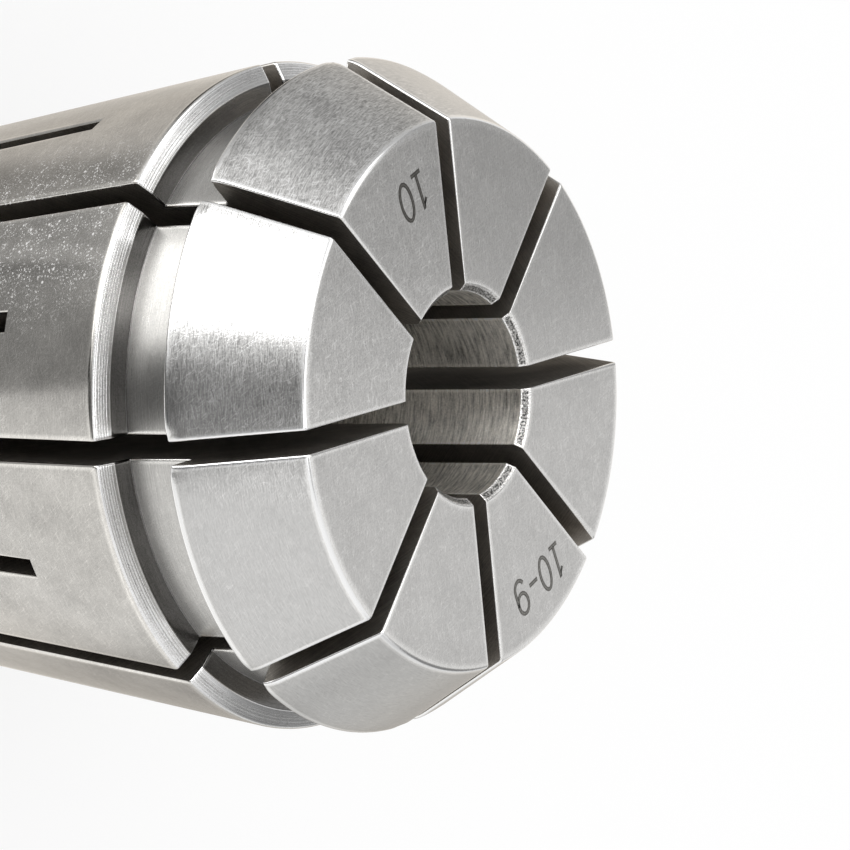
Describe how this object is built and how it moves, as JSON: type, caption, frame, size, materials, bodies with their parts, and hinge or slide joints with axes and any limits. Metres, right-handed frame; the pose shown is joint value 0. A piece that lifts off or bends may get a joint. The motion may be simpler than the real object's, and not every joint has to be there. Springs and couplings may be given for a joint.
{
  "type": "er collet",
  "caption": "Slotted steel spring collet with a long rear taper, an extraction groove and a short nose cone, for clamping a round tool shank.",
  "frame": {"origin": "centre of the small rear end, where the bore's axis meets the face that the collet stands on", "axes": "+Z along the bore from the rear end to the front face, +X through one of the slots that are cut from the front"},
  "size_m": [0.033, 0.033, 0.04],
  "materials": {
    "steel": "ground and turned satin, hardened steel"
  },
  "bodies": {
    "root": {"collet": "steel"}
  },
  "joints": []
}
